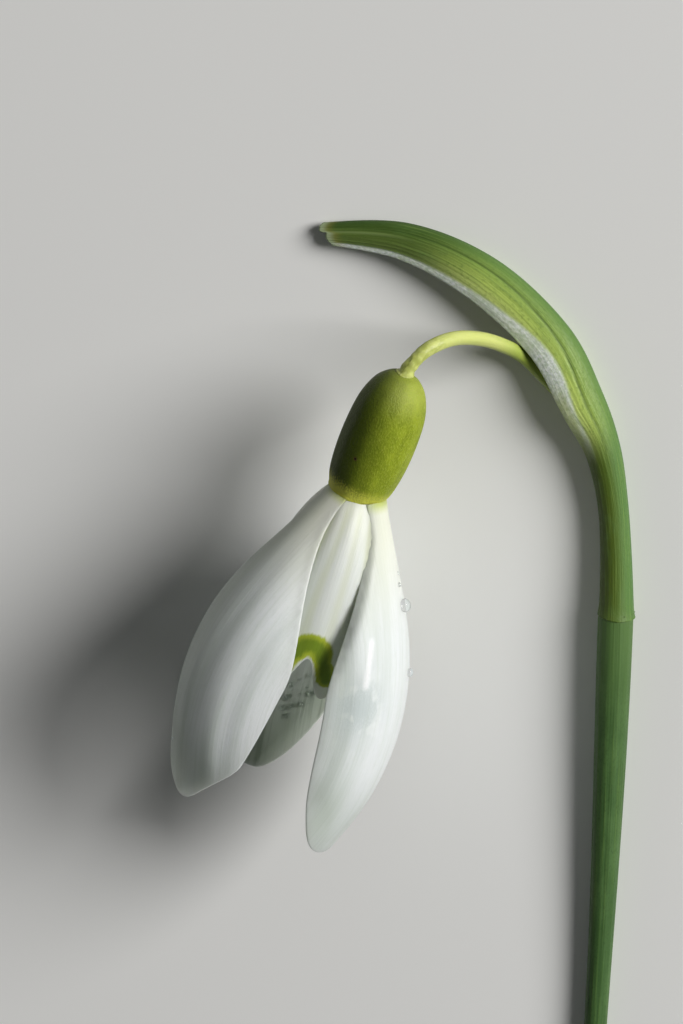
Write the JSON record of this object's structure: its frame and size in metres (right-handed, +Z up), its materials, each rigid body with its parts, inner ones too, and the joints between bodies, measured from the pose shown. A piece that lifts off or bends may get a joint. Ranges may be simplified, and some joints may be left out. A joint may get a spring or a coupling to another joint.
{
  "type": "snowdrop flower",
  "caption": "Cut snowdrop flower lying on its side: a white bell of long outer and short notched inner petals, a green ovary and a thin stalk from a curved green sheath on its stem.",
  "frame": {"origin": "middle of the whole flower's footprint, at the height of the surface it lies on", "axes": "+Y along the stem from its cut end towards the bend of the sheath, +Z up from the surface, +X away from the side where the flower head lies"},
  "size_m": [0.0286, 0.0708, 0.0139],
  "materials": {
    "scape": "satin",
    "spathe": "satin",
    "pedicel": "satin",
    "ovary": "satin",
    "outer_tepal": "satin",
    "inner_tepal": "satin",
    "stamen": "matte",
    "style": "satin"
  },
  "bodies": {
    "root": {"scape": "scape", "spathe": "spathe", "pedicel": "pedicel", "ovary": "ovary", "outer_tepal_left": "outer_tepal", "outer_tepal_right": "outer_tepal", "outer_tepal_back": "outer_tepal", "inner_tepal_front": "inner_tepal", "inner_tepal_back_right": "inner_tepal", "inner_tepal_back_left": "inner_tepal", "stamen_1": "stamen", "stamen_2": "stamen", "stamen_3": "stamen", "stamen_4": "stamen", "stamen_5": "stamen", "stamen_6": "stamen", "style": "style"}
  },
  "joints": []
}
